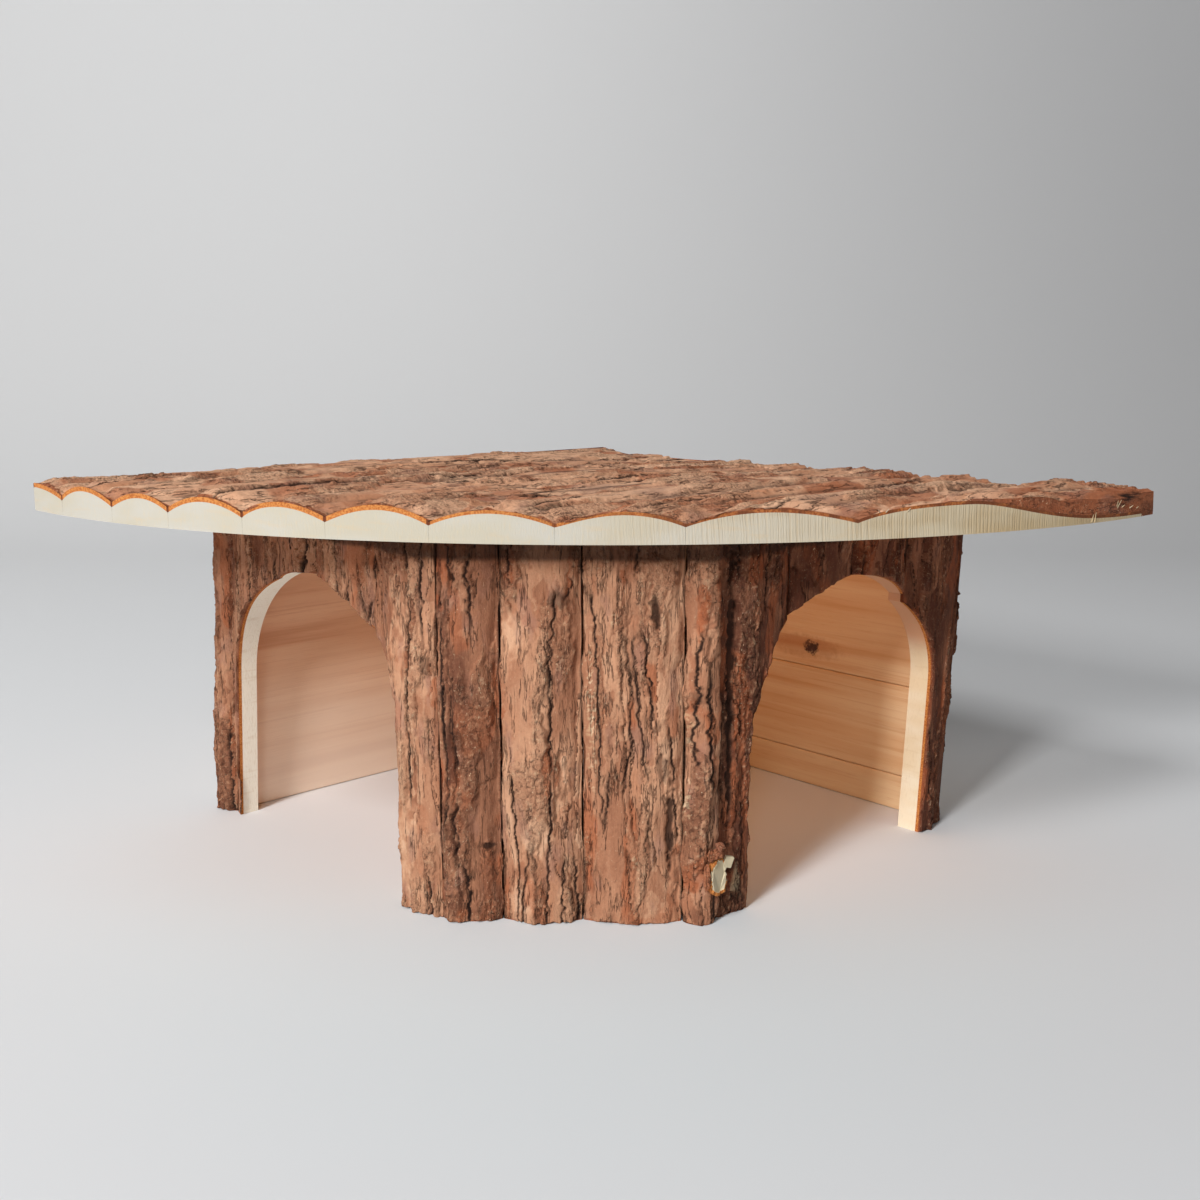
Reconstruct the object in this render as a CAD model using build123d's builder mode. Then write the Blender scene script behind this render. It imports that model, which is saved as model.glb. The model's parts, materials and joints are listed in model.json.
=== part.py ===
from build123d import *
from itertools import accumulate
from math import radians, tan
import os

# Corner hide for a small pet: upright bark-on slabs with two arched doorways,
# plain pine boards at the back and a quarter-round roof of bark-on slabs.
# Millimetres. +Z is up and the floor is z = 0. The back corner lies at (-X, +Y),
# the left doorway faces -Y and the right doorway faces +X.

# Roof slabs, from the left tip to the right tip
roof_side = 300.0
roof_crown = 13.0
roof_edge = 7.5
roof_sawn_edge = 10.5
overhang_left = 2.0
overhang_right = 6.0
roof_width_shares = (0.083, 0.111, 0.097, 0.103, 0.095, 0.100, 0.103, 0.092, 0.103, 0.113)
roof_crown_shares = (0.89, 1.00, 0.97, 1.00, 0.98, 1.00, 0.97, 0.95, 0.98, 1.00)
roof_peak_shares = (0.30, 0.48, 0.52, 0.50, 0.47, 0.52, 0.50, 0.54, 0.50, 0.48)

# Long grooves between the bark plates of each roof slab, set out as shares of the way over it
groove_width = 4.0
groove_depth = 1.3
roof_groove_shares = (
    (0.62,),
    (0.27, 0.67),
    (0.36, 0.75),
    (0.23, 0.63),
    (0.33, 0.72),
    (0.28, 0.66),
    (0.38, 0.78),
    (0.30, 0.70),
    (0.35, 0.69),
    (0.26, 0.61),
)

# Upright wall slabs, from the left leg to the right leg, set out from the roof's side
wall_height = 137.0
wall_reach_share = 0.7533
panel_length_share = 0.53
slab_crown = 11.5
slab_edge = 7.5
left_width_shares = (0.095, 0.240, 0.195, 0.255, 0.215)
pillar_width_shares = (0.216, 0.329, 0.380, 0.075)
right_width_shares = (0.265, 0.245, 0.227, 0.263)

# Back boards
board_thickness = 8.0
lower_board_height = 15.5
middle_board_height = 40.0

# Doorways: what is left of a panel beside and above each opening, and the height of its arch
door_leg = 20.0
door_pier = 23.0
door_lintel = 23.0
door_rise = 50.0

# Sawn branch stub on the first slab of the right panel
stub_width = 8.5
stub_height = 12.0
stub_rise = 3.0
stub_level = 19.0
stub_along = 3.0

# Headless brads and the holes that hold them
brad_diameter = 1.4
brad_length = 26.0
brad_clearance = 0.1
brad_sink = 1.0
brad_margin = 9.0
left_brad_shares = (0.25, 0.60, 0.92)

cut_overrun = 5.0

# Places worked out from the sizes above
half_side = roof_side / 2
wall_x = overhang_left - half_side
wall_y = half_side - overhang_right
wall_reach = roof_side * wall_reach_share
panel_length = roof_side * panel_length_share
inner_reach = wall_reach - slab_crown
corner_lean = tan(radians(45 / 2))
inner_length = panel_length - slab_crown * corner_lean
pillar_length = (inner_reach - inner_length) * 2**0.5
panel_inner_x = wall_x + inner_reach
panel_inner_y = wall_y - inner_reach
door_width = panel_length - door_leg - door_pier
door_middle = door_leg + door_width / 2
door_spring = wall_height - door_lintel - door_rise
board_middle = board_thickness / 2
slab_middle = slab_edge / 2
middle_top = lower_board_height + middle_board_height
upper_board_height = wall_height - middle_top
brad_bottom = wall_height + roof_edge - brad_sink - brad_length

# Plans of the three runs of slabs: x along the inner line, bark on the -Y side
left_run = Plane(origin=(wall_x, panel_inner_y, 0), x_dir=(1, 0, 0), z_dir=(0, 0, 1))
pillar_run = Plane(
    origin=(wall_x + inner_length, panel_inner_y, 0), x_dir=(1, 1, 0), z_dir=(0, 0, 1)
)
right_run = Plane(
    origin=(panel_inner_x, wall_y - inner_length, 0), x_dir=(0, 1, 0), z_dir=(0, 0, 1)
)

# Inside faces of the doorway panels: x along the run, y up, z outwards
left_face = Plane(origin=left_run.origin, x_dir=(1, 0, 0), z_dir=(0, -1, 0))
right_face = Plane(origin=right_run.origin, x_dir=(0, 1, 0), z_dir=(1, 0, 0))

# Planes at the outer ends of the level brads: y up, z along the brad into the wood
corner_brads_at = Plane(
    origin=(wall_x + board_middle, wall_y - brad_sink, 0), x_dir=(1, 0, 0), z_dir=(0, -1, 0)
)
left_leg_brads_at = Plane(
    origin=(wall_x + board_middle, panel_inner_y - slab_edge + brad_sink, 0),
    x_dir=(-1, 0, 0),
    z_dir=(0, 1, 0),
)
right_leg_brads_at = Plane(
    origin=(panel_inner_x + slab_edge - brad_sink, wall_y - board_middle, 0),
    x_dir=(0, -1, 0),
    z_dir=(-1, 0, 0),
)
brad_levels = [
    lower_board_height / 2,
    lower_board_height + middle_board_height / 2,
    middle_top + upper_board_height / 3,
    wall_height - brad_margin * 3,
]
level_points = [(0, level) for level in brad_levels]

os.makedirs("parts", exist_ok=True)


def seams(length, shares):
    """Start and end of each slab along a run."""
    stops = [0, *accumulate(length * share / sum(shares) for share in shares)]
    return list(zip(stops, stops[1:]))


# Upright brads through the roof into the tops of the walls, at the middle of each slab they hold
roof_seams = seams(roof_side, roof_width_shares)
roof_middles = [(start + end) / 2 - half_side for start, end in roof_seams]
left_edge_points = [(wall_x + board_middle, wall_y - inner_reach * s) for s in left_brad_shares]
right_edge_points = [
    (x, wall_y - board_middle)
    for x in roof_middles
    if wall_x < x < panel_inner_x
]
pier_x = max(x for x in roof_middles if x < wall_x + inner_length)
front_points = [
    (pier_x, panel_inner_y - slab_middle),
    (panel_inner_x + slab_middle, wall_y - inner_length + brad_margin),
]
roof_points = [*left_edge_points, *right_edge_points, *front_points]


def slab_plan(run, start, end, lean_start, lean_end):
    """Plan of an upright slab: flat inside, straight sides, bark side rounded outwards."""
    near = (start - lean_start * slab_edge, -slab_edge)
    far = (end + lean_end * slab_edge, -slab_edge)
    with BuildSketch(run) as plan:
        with BuildLine():
            Polyline(near, (start, 0), (end, 0), far)
            ThreePointArc(far, ((near[0] + far[0]) / 2, -slab_crown), near)
        make_face()
    return plan.sketch


def roof_section(start, end, first_edge, crown, peak_share, groove_shares):
    """Section of a roof slab, seen from the right-hand back edge: flat below, rounded above."""
    width = end - start
    section_plane = Plane(
        origin=(start - half_side, half_side, wall_height), x_dir=(1, 0, 0), z_dir=(0, -1, 0)
    )
    with BuildSketch(section_plane) as section:
        with BuildLine():
            Polyline((0, first_edge), (0, 0), (width, 0), (width, roof_edge))
            bark = ThreePointArc((0, first_edge), (width * peak_share, crown), (width, roof_edge))
        make_face()
        with Locations(*[bark @ share for share in groove_shares]):
            Ellipse(groove_width / 2, groove_depth, mode=Mode.SUBTRACT)
    return section.sketch


def roof_plan():
    """Quarter circle about the back corner."""
    back, left, right = (-half_side, half_side), (-half_side, -half_side), (half_side, half_side)
    with BuildSketch(Plane.XY.offset(wall_height)) as plan:
        with BuildLine():
            Polyline(left, back, right)
            RadiusArc(right, left, roof_side)
        make_face()
    return plan.sketch


def door_opening(face, middle):
    """Doorway on a panel: upright sides and a half-ellipse head, carried below the floor."""
    half = door_width / 2
    foot_left, foot_right = (middle - half, -cut_overrun), (middle + half, -cut_overrun)
    with BuildSketch(face.offset(-cut_overrun)) as opening:
        with BuildLine():
            Polyline((middle - half, door_spring), foot_left, foot_right, (middle + half, door_spring))
            EllipticalCenterArc((middle, door_spring), half, door_rise, start_angle=0, arc_size=180)
        make_face()
    return opening.sketch


def brad_dots(plane, points, radius):
    """One round dot for each brad of a group."""
    with BuildSketch(plane) as dots:
        with Locations(*points):
            Circle(radius)
    return dots.sketch


def upright_holes():
    """Holes for roof brads, open upwards, as dots to extrude up from their foot."""
    foot = Plane.XY.offset(brad_bottom - brad_clearance)
    return brad_dots(foot, roof_points, brad_diameter / 2 + brad_clearance)


def level_holes(plane):
    """Holes for level brads, open outwards, as dots to extrude into the wood."""
    return brad_dots(plane.offset(-slab_crown), level_points, brad_diameter / 2 + brad_clearance)


upright_hole_depth = brad_clearance + brad_length + brad_sink + roof_crown
level_hole_depth = slab_crown + brad_length + brad_clearance


def finish(piece, name):
    """Name a finished piece and write it."""
    piece.part.label = name
    export_step(piece.part, f"parts/{name}.step")


# Roof: half-round slabs side by side along Y, trimmed to the quarter circle
roof_rows = zip(roof_seams, roof_crown_shares, roof_peak_shares, roof_groove_shares)
for number, ((start, end), crown_share, peak_share, groove_shares) in enumerate(roof_rows, 1):
    first_edge = roof_sawn_edge if number == 1 else roof_edge
    crown = roof_crown * crown_share
    with BuildPart() as roof_slab:
        extrude(
            roof_section(start, end, first_edge, crown, peak_share, groove_shares), amount=roof_side
        )
        extrude(roof_plan(), amount=roof_crown + cut_overrun, mode=Mode.INTERSECT)
        extrude(upright_holes(), amount=upright_hole_depth, mode=Mode.SUBTRACT)
    finish(roof_slab, f"roof_slab_{number:02d}")

# Left doorway panel, whose last slab is mitred to the pillar
left_seams = seams(inner_length, left_width_shares)
left_opening = door_opening(left_face, door_middle)
for number, (start, end) in enumerate(left_seams, 1):
    mitre = corner_lean if number == len(left_seams) else 0
    with BuildPart() as left_slab:
        extrude(slab_plan(left_run, start, end, 0, mitre), amount=wall_height)
        extrude(left_opening, amount=slab_crown + 2 * cut_overrun, mode=Mode.SUBTRACT)
        if number == 1:
            extrude(level_holes(left_leg_brads_at), amount=level_hole_depth, mode=Mode.SUBTRACT)
        extrude(upright_holes(), amount=upright_hole_depth, mode=Mode.SUBTRACT)
    finish(left_slab, f"left_slab_{number}")

# Front pillar across the corner, mitred to both panels
pillar_seams = seams(pillar_length, pillar_width_shares)
for number, (start, end) in enumerate(pillar_seams, 1):
    mitre_start = corner_lean if number == 1 else 0
    mitre_end = corner_lean if number == len(pillar_seams) else 0
    with BuildPart() as pillar_slab:
        extrude(slab_plan(pillar_run, start, end, mitre_start, mitre_end), amount=wall_height)
    finish(pillar_slab, f"pillar_slab_{number}")

# Right doorway panel, whose first slab is mitred to the pillar and carries the branch stub
right_seams = seams(inner_length, right_width_shares)
right_opening = door_opening(right_face, inner_length - door_middle)
for number, (start, end) in enumerate(right_seams, 1):
    mitre = corner_lean if number == 1 else 0
    with BuildPart() as right_slab:
        extrude(slab_plan(right_run, start, end, mitre, 0), amount=wall_height)
        extrude(right_opening, amount=slab_crown + 2 * cut_overrun, mode=Mode.SUBTRACT)
        if number == 1:
            with BuildSketch(right_face.offset(slab_middle)):
                with Locations((stub_along, stub_level)):
                    Ellipse(stub_width / 2, stub_height / 2)
            extrude(amount=slab_crown + stub_rise - slab_middle)
        extrude(upright_holes(), amount=upright_hole_depth, mode=Mode.SUBTRACT)
        if number == len(right_seams):
            extrude(level_holes(right_leg_brads_at), amount=level_hole_depth, mode=Mode.SUBTRACT)
    finish(right_slab, f"right_slab_{number}")

# Left back wall, one wide board that butts against the right back wall
with BuildPart() as left_back_board:
    with BuildSketch():
        with Locations((wall_x, panel_inner_y)):
            Rectangle(
                board_thickness, inner_reach - board_thickness, align=(Align.MIN, Align.MIN)
            )
    extrude(amount=wall_height)
    extrude(upright_holes(), amount=upright_hole_depth, mode=Mode.SUBTRACT)
    extrude(level_holes(corner_brads_at), amount=level_hole_depth, mode=Mode.SUBTRACT)
    extrude(level_holes(left_leg_brads_at), amount=level_hole_depth, mode=Mode.SUBTRACT)
finish(left_back_board, "left_back_board")

# Right back wall, three boards one above the other
right_boards = {
    "lower": (0, lower_board_height),
    "middle": (lower_board_height, middle_top),
    "upper": (middle_top, wall_height),
}
for place, (foot, top) in right_boards.items():
    with BuildPart() as right_back_board:
        with BuildSketch(Plane.XY.offset(foot)):
            with Locations((wall_x, wall_y)):
                Rectangle(inner_reach, board_thickness, align=(Align.MIN, Align.MAX))
        extrude(amount=top - foot)
        extrude(level_holes(corner_brads_at), amount=level_hole_depth, mode=Mode.SUBTRACT)
        extrude(level_holes(right_leg_brads_at), amount=level_hole_depth, mode=Mode.SUBTRACT)
        extrude(upright_holes(), amount=upright_hole_depth, mode=Mode.SUBTRACT)
    finish(right_back_board, f"right_back_board_{place}")

# Brads, one group for each joint
with BuildPart() as roof_brads:
    extrude(
        brad_dots(Plane.XY.offset(brad_bottom), roof_points, brad_diameter / 2), amount=brad_length
    )
finish(roof_brads, "roof_brads")

with BuildPart() as corner_brads:
    extrude(brad_dots(corner_brads_at, level_points, brad_diameter / 2), amount=brad_length)
finish(corner_brads, "corner_brads")

with BuildPart() as leg_brads:
    for leg_plane in (left_leg_brads_at, right_leg_brads_at):
        extrude(brad_dots(leg_plane, level_points, brad_diameter / 2), amount=brad_length)
finish(leg_brads, "leg_brads")
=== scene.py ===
import json
import math
from collections import namedtuple

import bpy
import numpy as np
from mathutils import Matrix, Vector

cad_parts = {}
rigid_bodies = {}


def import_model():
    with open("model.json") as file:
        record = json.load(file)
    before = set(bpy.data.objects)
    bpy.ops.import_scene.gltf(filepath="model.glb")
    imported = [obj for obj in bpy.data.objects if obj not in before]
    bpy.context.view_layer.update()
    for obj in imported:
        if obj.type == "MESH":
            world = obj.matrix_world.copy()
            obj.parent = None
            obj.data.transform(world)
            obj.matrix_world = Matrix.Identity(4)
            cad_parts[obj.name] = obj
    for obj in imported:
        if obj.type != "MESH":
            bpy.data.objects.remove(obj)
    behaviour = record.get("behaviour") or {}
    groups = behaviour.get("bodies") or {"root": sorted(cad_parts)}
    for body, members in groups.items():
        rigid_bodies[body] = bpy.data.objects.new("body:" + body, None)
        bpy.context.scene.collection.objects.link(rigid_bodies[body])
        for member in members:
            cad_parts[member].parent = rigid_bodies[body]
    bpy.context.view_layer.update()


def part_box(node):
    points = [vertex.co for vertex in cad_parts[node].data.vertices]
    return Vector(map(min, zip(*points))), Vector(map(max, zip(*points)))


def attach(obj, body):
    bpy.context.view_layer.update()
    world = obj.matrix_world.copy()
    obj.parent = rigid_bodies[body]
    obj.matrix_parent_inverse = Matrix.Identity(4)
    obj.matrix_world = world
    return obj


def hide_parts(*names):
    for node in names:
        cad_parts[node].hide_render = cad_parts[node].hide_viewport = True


bl_info = {
    "name": "Bark corner hide",
    "version": (1, 0, 0),
    "blender": (4, 5, 0),
    "location": "View3D > Sidebar > Hide",
    "description": "Models the visible pieces of a corner hide of bark-on slabs around its packed part",
    "category": "Object",
}

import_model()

MM = 0.001
# How close to 0 or 1 a share of a slab's width is at its two sides
AT_SIDE = 1e-6
# The fewest columns of a slab's mesh, and about how far its bark lies out from its flat side
LEAST_COLUMNS, BARK_OUT = 8, 10
# Beside a doorway the columns over it are this much closer, and crowd towards the jamb by this power
DOOR_COLUMNS, DOOR_CROWDING = 1.15, 1.6
# In millimetres: how deep and how wide a slab's sides are rolled off, the roof's front is worn and its grooves are
ROLL_DEPTH, ROLL_WIDTH = 0.9, 2.4
WEAR_DEPTH, WEAR_WIDTH = 1.7, 7.0
GROOVE_DEPTH, GROOVE_HALF_WIDTH = 1.3, 2.0
# Heights of the bark over a slab's flat side: the walls' sides and crowns, the roof's sides and its two tips
WALL_SIDE, WALL_CROWN = 7.5, 11.5
ROOF_SIDE, ROOF_TIP = 7.5, 10.5
# How far the feet of the legs, of the boards and of the right leg's brads stand askew, and the height where none does
LEFT_FOOT, RIGHT_FOOT, BOARD_FOOT, RIGHT_BRAD_FOOT = 8, 7, 2.5, 4.5
ASKEW_HEIGHT = 105
# The pillar's third slab reaches this far over its joint in the frame, and the roof's right tip ends this far short
PILLAR_OVERLAP, TIP_SHORT = 2.5, 0.15
# The materials of a slab, in the order of its mesh
BARK, INNER_BARK, SAPWOOD, INNER_WOOD = range(4)
# The directions of the frame's three axes
X, Y, Z = np.eye(3)
# The branch stub: the height of its middle, its length and the halves of its width and height
STUB_MIDDLE, STUB_LENGTH, STUB_WIDE, STUB_TALL = 17.8, 10.0, 4.7, 6.8

# Shades of bark, as dark, tone, red and pale: a cut rim, the last side of the roof's right tip, the roof's first rows
# with the share that they take of it, and small torn pieces
RIM_SHADE = (0.1, 0.35, 1.0, 0.0)
TIP_SHADE = (0.3, 0.15, 0.6, 0.0)
FRONT_SHADE, FRONT_SHARE = np.array([0.34, 0.3, 0.9, 0.0]), np.array([0.8, 0.8, 0.8, 0.0])
TORN_SHADE = (0.05, 0.65, 0.8, 0.0)

# A run of slabs: where it starts and its directions across the slabs, along their grain and out of the bark
Run = namedtuple("Run", "origin across along out")
# A wall: its slabs' name and looks, its length, the leans of its two ends, its doorway's two sides and middle, how far
# it stands askew at places across and along it, its run and where along it a node starts
Wall = namedtuple("Wall", "name looks length leans door rack run starts")
# One slab: its seed, how light and how red its bark is, the gaps left at its two sides (below zero where the bark
# hangs over), its marks, how far its arch hangs below the doorway's own and how much more its bark is cracked
Look = namedtuple("Look", "seed tone red gaps marks notch split", defaults=((), 0.0, 0.0))
# A mark on the bark: its kind, its middle across and along the slab and its half width and half length
Mark = namedtuple("Mark", "kind across along wide long")
# What a kind of mark does: how far it lifts the bark in millimetres, how dark it is, what it adds to the bark's tone
# and red, and how pale it is
Effect = namedtuple("Effect", "rise dark tone red pale", defaults=(0.0,) * 5)
# What one slab is modelled from. span is its two sides across the run. ends(across) gives its two ends along the
# grain, outer(share) the mean height of its bark. lean is how far its two sides splay with the depth. door is the
# doorway's two sides and middle, where the slab meets one. rack(across, along) is how far the slab stands askew. wide
# and stretch enlarge the bark's pattern. bare names the sides, 0 or 1, whose wood can be seen. grooves are the shares
# of its width where long grooves run. wrap is how much thicker the bark is at its last side. settle is how much of its
# crown it has lost at its far end. seams are the sides that another slab shares, which wander with it.
# grime is painted shade of the roof: how much darker the bark is painted close to its far end. inner is
# how thick its inner bark is for the bark's own.
Slab = namedtuple(
    "Slab",
    "node run span ends outer cell look bark lean door rack wide stretch bare grooves wrap settle seams grime inner",
    defaults=((0, 0), None, None, 1.0, 1.0, (), (), 0.0, 0.0, (), 0.0, 1.0),
)
# A slab's mesh and, for each vertex of its flat grid, its share of the rows, whether it is in the first two, its place
# across and along, the slab's two ends there and its share of the width
Grid = namedtuple("Grid", "piece rise front across along low high share")
# A slab's bark at each vertex of its grid: its place, its depth and its wood's over the flat side, how thick the inner
# bark is, its shades and how crumbly it is
Skin = namedtuple("Skin", "across along depth wood inner shades rough")

EFFECTS = {
    "hollow": Effect(rise=-1.4, dark=0.75),
    "knot": Effect(rise=0.7, dark=0.5),
    "crumbs": Effect(rise=0.4, pale=0.75),
    "tan": Effect(tone=0.35),
    "dull": Effect(tone=-0.35),
    "red": Effect(red=0.7),
    "bare": Effect(pale=1.0),
    "collar": Effect(rise=2.4, red=0.5),
}

# Where the knot of the upper right board lies along x and up z, in millimetres
KNOT = (4.8, 64.5)

# For each roof slab: where across it its crown lies, where its grooves run, and how light and how red its bark is
ROOF_PEAKS = (0.30, 0.48, 0.52, 0.50, 0.47, 0.52, 0.50, 0.54, 0.50, 0.48)
ROOF_GROOVES = (
    (0.62,), (0.27, 0.67), (0.36, 0.75), (0.23, 0.63), (0.33, 0.72),
    (0.28, 0.66), (0.38, 0.78), (0.30, 0.70), (0.35, 0.69), (0.26, 0.61),
)
ROOF_SHADES = (
    (1.14, 0.24), (1.18, 0.20), (1.10, 0.30), (1.18, 0.26), (1.08, 0.40),
    (1.14, 0.30), (1.12, 0.35), (1.08, 0.45), (1.25, 0.30), (1.22, 0.34),
)
# The gap between two roof slabs, and how much more their bark is cracked
ROOF_GAP, ROOF_SPLIT = 0.06, 0.14
# How thick the inner bark is for the bark's own on the first six slabs and on the others
ROOF_INNER = (1.3, 0.85)
ROOF_TIP_MARKS = (Mark("dull", 299, -20, 10, 60), Mark("dull", 303, -10, 10, 40), Mark("red", 299, -20, 10, 60))
ROOF_LOOKS = tuple(
    Look(
        10 + number, tone, red,
        (0.0 if number == 1 else ROOF_GAP, 0.0 if number == len(ROOF_SHADES) else ROOF_GAP),
        ROOF_TIP_MARKS if number == len(ROOF_SHADES) else (),
        split=ROOF_SPLIT,
    )
    for number, (tone, red) in enumerate(ROOF_SHADES, 1)
)
LEFT_LOOKS = (
    Look(31, 0.35, 0.04, (0.0, 0.4), split=0.12),
    Look(32, 0.46, 0.02, (0.4, 0.4), split=0.22),
    Look(33, 0.56, 0.04, (0.4, 0.4), split=0.22),
    Look(34, 0.58, 0.04, (0.4, 0.4), split=0.22),
    Look(
        35, 0.52, 0.10, (0.3, 0.4),
        (Mark("knot", 150.5, 91.7, 2.6, 4.4), Mark("red", 153.5, 82.5, 2.6, 8), Mark("tan", 136, 60, 8, 60)),
        split=0.12,
    ),
)
PILLAR_LOOKS = (
    Look(
        41, 0.32, 0.22, (0.4, 0.6),
        (
            Mark("hollow", 6.6, 122, 1.4, 1.8), Mark("red", 1.7, 114.5, 2, 4), Mark("crumbs", 1.0, 74.6, 2.2, 3.4),
            Mark("crumbs", 1.6, 64, 2.0, 2.4), Mark("knot", 2, 40, 2.2, 4), Mark("knot", 3, 33, 1.8, 3),
            Mark("hollow", 14.5, 27.7, 2.6, 1.1), Mark("knot", 5, 67, 3.5, 5),
        ),
        split=0.10,
    ),
    Look(
        42, 0.66, 0.12, (0.5, 0.5),
        (
            Mark("tan", 23, 102.6, 4.4, 8), Mark("knot", 39, 115.5, 4, 5), Mark("tan", 30.9, 31, 6, 9),
            Mark("dull", 26, 19, 4, 4), Mark("tan", 24, 8, 6, 6), Mark("dull", 35, 58, 3.6, 3.6),
            Mark("crumbs", 39, 85, 1.0, 0.8),
        ),
        split=0.05,
    ),
    Look(
        43, 0.68, 0.18, (0.6, 0.6),
        (
            Mark("hollow", 70.9, 112, 2.0, 8), Mark("crumbs", 57, 109, 2.0, 3.0), Mark("knot", 71.8, 71.5, 1.8, 2.4),
            Mark("knot", 73.6, 58, 2, 6), Mark("hollow", 76.6, 35, 1.6, 18), Mark("crumbs", 49.5, 76, 2.6, 26),
            Mark("crumbs", 65, 24, 1.4, 2.6),
        ),
        split=0.08,
    ),
    Look(
        44, 0.50, 0.30, (0.6, -5.6),
        (
            Mark("crumbs", 82.6, 72, 2.2, 9), Mark("crumbs", 81.5, 46, 1.6, 8), Mark("red", 85, 113, 1.6, 12),
            Mark("knot", 84, 82, 2, 3),
        ),
        split=0.10,
    ),
)
RIGHT_LOOKS = (
    Look(
        51, 0.14, 0.08, (2.6, 0.4),
        (
            Mark("hollow", 10.4, 78, 2.0, 60), Mark("hollow", 10.0, 92, 1.6, 50), Mark("bare", 14.2, 12.5, 2.2, 6.5),
            Mark("collar", 2.5, 18, 6, 9),
        ),
        notch=2.0,
    ),
    Look(52, 0.10, 0.10, (0.4, 0.4)),
    Look(53, 0.08, 0.08, (0.4, 0.4)),
    Look(54, 0.12, 0.10, (0.4, 0.0), notch=4.0),
)


def metres(name, description, default):
    """A size that a user can change."""
    return bpy.props.FloatProperty(name=name, description=description, default=default, unit="LENGTH")


def watts(name, description, default):
    """A lamp's power that a user can change."""
    return bpy.props.FloatProperty(name=name, description=description, default=default, unit="POWER")


class HideBark(bpy.types.PropertyGroup):
    """Sizes of the bark and of the mesh that carries it."""

    wall_cell: metres("Wall cell", "Mesh cell on the wall slabs", 0.00046)
    roof_cell: metres("Roof cell", "Mesh cell on the roof slabs", 0.00062)
    edge_bark: metres("Bark at the sides", "Bark thickness at a slab's sides", 0.0020)
    crown_bark: metres("Bark at the crown", "Bark thickness at a slab's crown", 0.0030)
    inner_bark: metres("Inner bark", "Thickness of the orange inner bark", 0.0013)
    plate_width: metres("Plate width", "Mean width of a plate of bark", 0.013)
    plate_length: metres("Plate length", "Mean length of a plate of bark", 0.085)
    step: metres("Flake step", "Height of a flake over the bark below it", 0.0006)
    crack: metres("Crack depth", "Depth of the cracks between plates", 0.0012)


class HideDoors(bpy.types.PropertyGroup):
    """Sizes of the two doorways."""

    leg: metres("Leg", "Width of the leg beside each doorway", 0.020)
    width: metres("Width", "Width of each doorway", 0.116)
    spring: metres("Spring", "Height where the arch starts", 0.064)
    rise: metres("Rise", "Height of the arch above its start", 0.050)


class HideStage(bpy.types.PropertyGroup):
    """Camera, lights and floor."""

    camera_place: bpy.props.FloatVectorProperty(
        name="Camera place", description="Where the camera stands", default=(0.36065, -0.33113, 0.19480),
        subtype="TRANSLATION",
    )
    camera_turn: bpy.props.FloatVectorProperty(
        name="Camera turn", description="Turn of the camera", subtype="EULER",
        default=(math.radians(79.39), math.radians(0.0), math.radians(46.85)),
    )
    lens: bpy.props.FloatProperty(
        name="Lens", description="Focal length on a 36 mm sensor", default=38.9, subtype="DISTANCE_CAMERA"
    )
    key_power: watts("Key power", "Power of the main key light", 54.0)
    high_power: watts("High power", "Power of the high soft light", 44.0)
    fill_power: watts("Fill power", "Power of the low fill light", 10.0)
    top_power: watts("Top power", "Power of the soft light overhead", 2.0)
    glow_power: watts("Glow power", "Power of the warm light under the roof", 0.032)
    sky: bpy.props.FloatProperty(
        name="Sky", description="Strength of the light from all round", default=0.07
    )


def lattice(ix, iy, seed):
    """A repeatable number from 0 to 1 at each point of a whole-number grid."""
    mixed = (ix * 374761393 + iy * 668265263 + seed * 974634777) & 0xFFFFFFFF
    mixed = ((mixed ^ (mixed >> 13)) * 1274126177) & 0xFFFFFFFF
    return ((mixed ^ (mixed >> 16)) & 0xFFFFF) / 0xFFFFF


def noise(x, y, seed):
    """Smooth noise from 0 to 1 with a mean of about a half."""
    ix, iy = np.floor(x).astype(np.int64), np.floor(y).astype(np.int64)
    fx, fy = x - ix, y - iy
    fx, fy = fx * fx * (3 - 2 * fx), fy * fy * (3 - 2 * fy)
    low = lattice(ix, iy, seed) * (1 - fx) + lattice(ix + 1, iy, seed) * fx
    high = lattice(ix, iy + 1, seed) * (1 - fx) + lattice(ix + 1, iy + 1, seed) * fx
    return low * (1 - fy) + high * fy


def layers(x, y, seed, count):
    """Noise with finer noise on it, count layers in all."""
    total = sum(noise(x * 2**k, y * 2**k, seed + 101 * k) / 2**k for k in range(count))
    return total / sum(1 / 2**k for k in range(count))


def ramp(low, high, x):
    """0 up to low, 1 from high and a soft step between them."""
    share = np.clip((x - low) / (high - low), 0, 1)
    return share * share * (3 - 2 * share)


def terraces(field, count, across, along):
    """Cut a field of noise into flat plates with steps between them.

    The answer is each place's plate, its distances in millimetres past the step below and short of the step
    above, and how nearly that step runs along the grain.
    """
    here = field(across, along) * count
    aside = (field(across + 0.3, along) * count - here) / 0.3
    onward = (field(across, along + 0.6) * count - here) / 0.6
    slope = np.maximum(np.hypot(aside, onward), 0.04)
    plate = np.floor(here)
    return plate, (here - plate) / slope, (plate + 1 - here) / slope, np.abs(aside) / slope


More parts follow.
